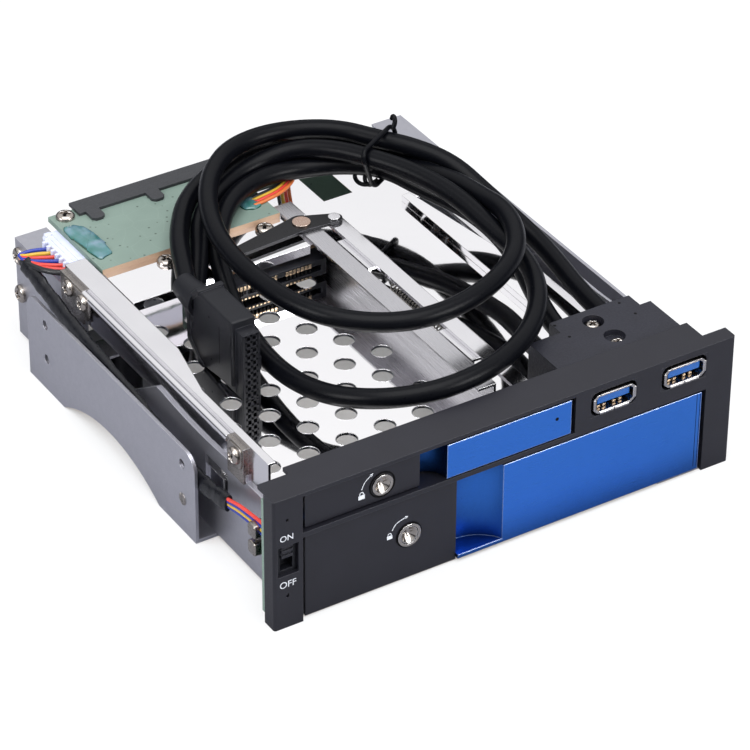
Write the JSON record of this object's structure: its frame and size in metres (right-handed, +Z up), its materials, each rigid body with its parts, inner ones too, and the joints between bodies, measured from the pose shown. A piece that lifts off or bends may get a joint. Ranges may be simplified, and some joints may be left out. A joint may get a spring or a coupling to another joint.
{
  "type": "hot swap drive cage",
  "caption": "Slim bay cage with stacked drive slots behind swing-out pull doors with key locks, front USB sockets, sheet steel sides, lever ejectors and a coiled internal USB cable.",
  "frame": {"origin": "middle of the cage's footprint, on the plane it stands on; the coiled cable and its plug are left out of that footprint", "axes": "+Y from the bezel to the rear sockets, +Z up, +X to the right seen from the front"},
  "size_m": [0.149, 0.1686, 0.0591],
  "materials": {
    "black_moulding": "satin moulded",
    "blue_anodised": "blue anodised, brushed",
    "zinc_steel": "satin zinc-plated sheet",
    "bright_steel": "bright stainless sheet",
    "mirror_steel": "mirror-bright plated steel",
    "dark_steel": "black oxide",
    "green_board": "pale green circuit board",
    "dark_board": "dark green circuit board",
    "black_socket": "moulded",
    "white_plastic": "moulded",
    "resin": "cast resin",
    "insulator": "satin film",
    "usb_blue": "moulded",
    "screw_steel": "nickel plated",
    "cable_black": "satin jacket",
    "wire_set": "coloured insulation",
    "spring_steel": "drawn wire"
  },
  "bodies": {
    "cage": {"front_bezel": "black_moulding", "lower_hinge_plate": "bright_steel", "hinge_pins": "bright_steel", "switch_body": "black_socket", "switch_board": "dark_board", "left_side_plate": "zinc_steel", "right_side_plate": "zinc_steel", "left_inner_wall": "zinc_steel", "right_inner_wall": "zinc_steel", "middle_deck": "mirror_steel", "left_bay_rail": "bright_steel", "right_bay_rail": "bright_steel", "rear_bridge_plate": "bright_steel", "upper_backplane_board": "green_board", "insulator_strip": "insulator", "resin_beads": "resin", "switch_header": "white_plastic", "upper_drive_socket": "black_socket", "upper_socket_board": "green_board", "lower_backplane_board": "green_board", "lower_drive_socket": "black_socket", "rear_sockets": "black_socket", "backplane_brackets": "zinc_steel", "pivot_rivets": "bright_steel", "bar_guides": "bright_steel", "return_spring": "spring_steel", "roller_brackets": "bright_steel", "roller_pins": "bright_steel", "usb_housing": "black_moulding", "usb_shells": "bright_steel", "usb_tongues": "usb_blue", "pan_screws": "screw_steel", "rail_clips": "dark_steel", "harness_sleeve": "cable_black", "internal_wires": "wire_set", "usb_cable_coil": "cable_black", "usb_leads": "cable_black", "cable_tie": "black_socket", "header_plug": "black_socket"},
    "upper_door": {"upper_pull": "blue_anodised", "upper_lock_plate": "black_moulding", "upper_hinge_block": "black_moulding", "upper_lock_barrel": "dark_steel"},
    "upper_lock": {"upper_lock_plug": "bright_steel", "upper_lock_cam": "bright_steel"},
    "lower_door": {"lower_pull": "blue_anodised", "lower_lock_plate": "black_moulding", "lower_hinge_block": "black_moulding", "lower_lock_barrel": "dark_steel"},
    "lower_lock": {"lower_lock_plug": "bright_steel", "lower_lock_cam": "bright_steel"},
    "upper_bar": {"upper_push_bar": "bright_steel"},
    "lower_bar": {"lower_push_bar": "bright_steel"},
    "upper_lever": {"upper_eject_lever": "dark_steel"},
    "lower_lever": {"lower_eject_lever": "dark_steel"},
    "slider": {"switch_slider": "black_moulding"},
    "roller_front_left": {"front_left_roller": "black_moulding"},
    "roller_front_right": {"front_right_roller": "black_moulding"},
    "roller_rear_left": {"rear_left_roller": "black_moulding"},
    "roller_rear_right": {"rear_right_roller": "black_moulding"}
  },
  "joints": [
    {"name": "upper_door_swing", "type": "hinge", "parent": "cage", "child": "upper_door", "pos_m": [0.01, -0.0798, 0.03535], "axis": [0, 0, 1], "range_deg": [0, 95]},
    {"name": "lower_door_swing", "type": "hinge", "parent": "cage", "child": "lower_door", "pos_m": [0.055, -0.0798, 0.014], "axis": [0, 0, 1], "range_deg": [0, 95]},
    {"name": "upper_lock_turn", "type": "hinge", "parent": "upper_door", "child": "upper_lock", "pos_m": [-0.0402, -0.0797, 0.0349], "axis": [0, -1, 0], "range_deg": [0, 90]},
    {"name": "lower_lock_turn", "type": "hinge", "parent": "lower_door", "child": "lower_lock", "pos_m": [-0.0316, -0.0797, 0.0149], "axis": [0, 1, 0], "range_deg": [0, 90]},
    {"name": "upper_bar_push", "type": "slide", "parent": "cage", "child": "upper_bar", "axis": [0, 1, 0], "range_m": [0, 0.0053]},
    {"name": "lower_bar_push", "type": "slide", "parent": "cage", "child": "lower_bar", "axis": [0, 1, 0], "range_m": [0, 0.0053]},
    {"name": "upper_lever_turn", "type": "hinge", "parent": "cage", "child": "upper_lever", "pos_m": [0.0025, 0.0299, 0.0414], "axis": [0, 0, 1], "range_deg": [0, 32]},
    {"name": "lower_lever_turn", "type": "hinge", "parent": "cage", "child": "lower_lever", "pos_m": [0.0528, 0.0658, 0.0266], "axis": [0, 0, 1], "range_deg": [0, 47]},
    {"name": "power_switch_slide", "type": "slide", "parent": "cage", "child": "slider", "axis": [0, 0, -1], "range_m": [0, 0.004]},
    {"name": "front_left_roller_spin", "type": "hinge", "parent": "cage", "child": "roller_front_left", "pos_m": [-0.0569, -0.0377, 0.012], "axis": [0, 0, 1], "continuous": true},
    {"name": "front_right_roller_spin", "type": "hinge", "parent": "cage", "child": "roller_front_right", "pos_m": [0.0569, -0.0377, 0.012], "axis": [0, 0, 1], "continuous": true},
    {"name": "rear_left_roller_spin", "type": "hinge", "parent": "cage", "child": "roller_rear_left", "pos_m": [-0.0569, 0.0303, 0.012], "axis": [0, 0, 1], "continuous": true},
    {"name": "rear_right_roller_spin", "type": "hinge", "parent": "cage", "child": "roller_rear_right", "pos_m": [0.0569, 0.0303, 0.012], "axis": [0, 0, 1], "continuous": true}
  ],
  "couplings": [
    {"joint": "upper_bar_push", "follows": "upper_door_swing", "m_per_rad": 0.003183},
    {"joint": "upper_lever_turn", "follows": "upper_door_swing", "ratio": 0.32437},
    {"joint": "lower_bar_push", "follows": "lower_door_swing", "m_per_rad": 0.003183},
    {"joint": "lower_lever_turn", "follows": "lower_door_swing", "ratio": 0.48801}
  ]
}
